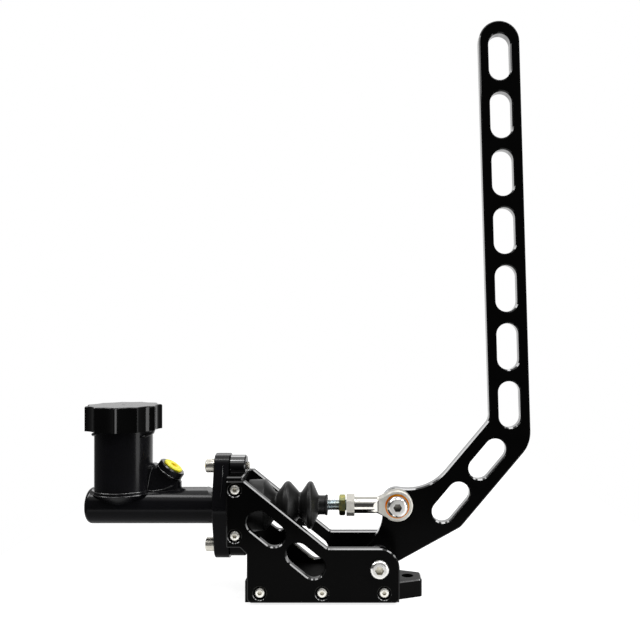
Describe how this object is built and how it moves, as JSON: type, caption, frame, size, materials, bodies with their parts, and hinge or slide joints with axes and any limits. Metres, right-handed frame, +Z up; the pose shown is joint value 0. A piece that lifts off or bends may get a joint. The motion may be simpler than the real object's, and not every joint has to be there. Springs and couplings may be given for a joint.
{
  "type": "hydraulic hand brake lever",
  "caption": "Upright slotted hand lever between two side plates, pushing a master cylinder with its own capped reservoir through a rod end and a booted push rod.",
  "frame": {"origin": "on the floor, at the centre of the two base bolt holes, on the base block's underside", "axes": "+X from the master cylinder to the lever along the row of base holes, +Z up, +Y away from the side on which the rod end sits"},
  "size_m": [0.3246, 0.0644, 0.4191],
  "materials": {
    "black_anodised": "black anodised plate with bright cut edges",
    "lever_anodised": "black anodised bar with bright cut edges",
    "stainless": "polished stainless steel",
    "zinc_bolts": "zinc plated",
    "zinc_rod": "clear zinc plated thread",
    "zinc_yellow": "yellow passivated zinc",
    "nickel": "nickel plated, satin",
    "cast_black": "satin black coating on a casting",
    "cap_black": "moulded, satin gloss",
    "boot_rubber": "matt rubber",
    "seal_rubber": "black rubber",
    "yellow_plastic": "moulded yellow plastic",
    "bronze_liner": "sintered bronze",
    "spacer_aluminium": "turned, satin",
    "piston_aluminium": "turned, satin",
    "spring_steel": "oiled steel"
  },
  "bodies": {
    "frame": {"side_plate_near": "black_anodised", "side_plate_far": "black_anodised", "plate_screws_near": "stainless", "plate_screws_far": "stainless", "base_block": "black_anodised", "cylinder_mount_block": "black_anodised", "flange_bolts": "zinc_bolts", "cylinder_body": "cast_black", "stop_washer": "spring_steel", "circlip": "spring_steel", "valve_stem": "spring_steel", "valve_seal": "seal_rubber", "valve_spacer": "spring_steel", "return_spring": "spring_steel", "dust_boot": "boot_rubber", "pivot_spacer_near": "spacer_aluminium", "pivot_spacer_far": "spacer_aluminium", "pivot_bolt": "stainless", "pivot_washer": "stainless", "pivot_nut": "stainless"},
    "lever": {"hand_lever": "lever_anodised", "pivot_bush": "bronze_liner", "rod_end_ball": "nickel", "rod_end_bolt": "stainless", "rod_end_washer": "stainless", "rod_end_nut": "stainless"},
    "pushrod": {"rod_end_body": "nickel", "rod_end_liner": "bronze_liner", "jam_nut": "zinc_yellow", "push_rod": "zinc_rod"},
    "piston": {"piston": "piston_aluminium", "main_cup_seal": "seal_rubber", "end_seal": "seal_rubber", "spring_retainer": "spring_steel"},
    "cap_seal": {"cap_seal": "seal_rubber"},
    "cap": {"reservoir_cap": "cap_black"},
    "plug": {"port_plug": "yellow_plastic"}
  },
  "joints": [
    {"name": "lever_pull", "type": "hinge", "parent": "frame", "child": "lever", "pos_m": [0.019, 0, 0.0252], "axis": [0, -1, 0], "range_deg": [0, 24], "stiffness_Nm_per_rad": 2.4, "springref_deg": -18.91},
    {"name": "rod_end_swivel", "type": "hinge", "parent": "lever", "child": "pushrod", "pos_m": [0.0324, 0, 0.0637], "axis": [0, -1, 0], "range_deg": [-22.92, 0]},
    {"name": "piston_slide", "type": "slide", "parent": "frame", "child": "piston", "axis": [-1, 0, 0], "range_m": [0, 0.01683], "deforming": ["dust_boot", "return_spring"]},
    {"name": "cap_lift", "type": "slide", "parent": "frame", "child": "cap_seal", "axis": [0, 0, 1], "range_m": [0, 0.00601]},
    {"name": "cap_turn", "type": "hinge", "parent": "cap_seal", "child": "cap", "pos_m": [-0.1664, 0, 0.0637], "axis": [0, 0, 1], "range_deg": [0, 720]},
    {"name": "plug_pull", "type": "slide", "parent": "frame", "child": "plug", "axis": [0.5807, 0, 0.8141], "range_m": [0, 0.009]}
  ],
  "couplings": [
    {"joint": "rod_end_swivel", "follows": "lever_pull", "ratio": -0.95445},
    {"joint": "piston_slide", "follows": "lever_pull", "m_per_rad": 0.04015},
    {"joint": "cap_lift", "follows": "cap_turn", "m_per_rad": 0.00047746}
  ]
}
